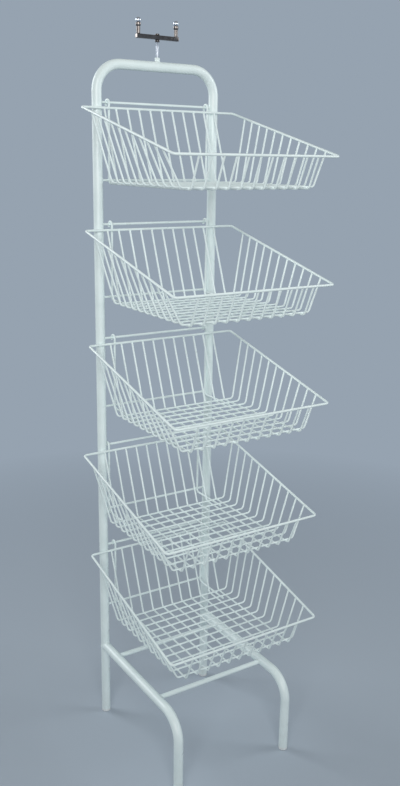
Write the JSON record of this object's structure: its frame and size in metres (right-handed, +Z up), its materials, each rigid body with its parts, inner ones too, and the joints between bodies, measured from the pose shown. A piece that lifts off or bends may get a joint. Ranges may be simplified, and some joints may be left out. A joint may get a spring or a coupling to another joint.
{
  "type": "produce basket display unit",
  "caption": "Tall white tube stand with sloping wire baskets that hook over bars between two uprights, bent front legs, plastic feet and a turning chrome sign fork on top.",
  "frame": {"origin": "on the floor, under the middle of the stand's outline", "axes": "+Z up along the uprights, -Y to the front where the baskets' rims are low, +X to the right"},
  "size_m": [0.414, 0.4117, 1.686],
  "materials": {
    "white_coat": "semi-gloss white powder coat",
    "foot_plastic": "satin light grey",
    "chrome": "bright plated"
  },
  "bodies": {
    "frame": {"rear_hoop": "white_coat", "left_front_leg": "white_coat", "right_front_leg": "white_coat", "rear_base_bar": "white_coat", "front_base_bar": "white_coat", "hanging_bar_1": "white_coat", "hanging_bar_2": "white_coat", "hanging_bar_3": "white_coat", "hanging_bar_4": "white_coat", "hanging_bar_5": "white_coat", "rest_bar_1": "white_coat", "rest_bar_2": "white_coat", "rest_bar_3": "white_coat", "rest_bar_4": "white_coat", "rest_bar_5": "white_coat", "sign_socket": "white_coat", "left_rear_foot": "foot_plastic", "right_rear_foot": "foot_plastic", "left_front_foot": "foot_plastic", "right_front_foot": "foot_plastic", "sign_stem": "chrome", "sign_lock_nut": "chrome", "sign_cap_nut": "chrome"},
    "sign_fork": {"sign_bar": "chrome", "sign_left_post": "chrome", "sign_right_post": "chrome", "sign_left_knob": "chrome", "sign_right_knob": "chrome"},
    "basket_1": {"basket_1_rim": "white_coat", "basket_1_mat": "white_coat", "basket_1_left_hanger": "white_coat", "basket_1_right_hanger": "white_coat"},
    "basket_2": {"basket_2_rim": "white_coat", "basket_2_mat": "white_coat", "basket_2_left_hanger": "white_coat", "basket_2_right_hanger": "white_coat"},
    "basket_3": {"basket_3_rim": "white_coat", "basket_3_mat": "white_coat", "basket_3_left_hanger": "white_coat", "basket_3_right_hanger": "white_coat"},
    "basket_4": {"basket_4_rim": "white_coat", "basket_4_mat": "white_coat", "basket_4_left_hanger": "white_coat", "basket_4_right_hanger": "white_coat"},
    "basket_5": {"basket_5_rim": "white_coat", "basket_5_mat": "white_coat", "basket_5_left_hanger": "white_coat", "basket_5_right_hanger": "white_coat"}
  },
  "joints": [
    {"name": "basket_1_lift", "type": "slide", "parent": "frame", "child": "basket_1", "axis": [0, 0, 1], "range_m": [0, 0.03]},
    {"name": "basket_2_lift", "type": "slide", "parent": "frame", "child": "basket_2", "axis": [0, 0, 1], "range_m": [0, 0.065]},
    {"name": "basket_3_lift", "type": "slide", "parent": "frame", "child": "basket_3", "axis": [0, 0, 1], "range_m": [0, 0.065]},
    {"name": "basket_4_lift", "type": "slide", "parent": "frame", "child": "basket_4", "axis": [0, 0, 1], "range_m": [0, 0.065]},
    {"name": "basket_5_lift", "type": "slide", "parent": "frame", "child": "basket_5", "axis": [0, 0, 1], "range_m": [0, 0.065]},
    {"name": "sign_fork_turn", "type": "hinge", "parent": "frame", "child": "sign_fork", "pos_m": [0, 0.1949, 1.648], "axis": [0, 0, 1], "continuous": true}
  ]
}
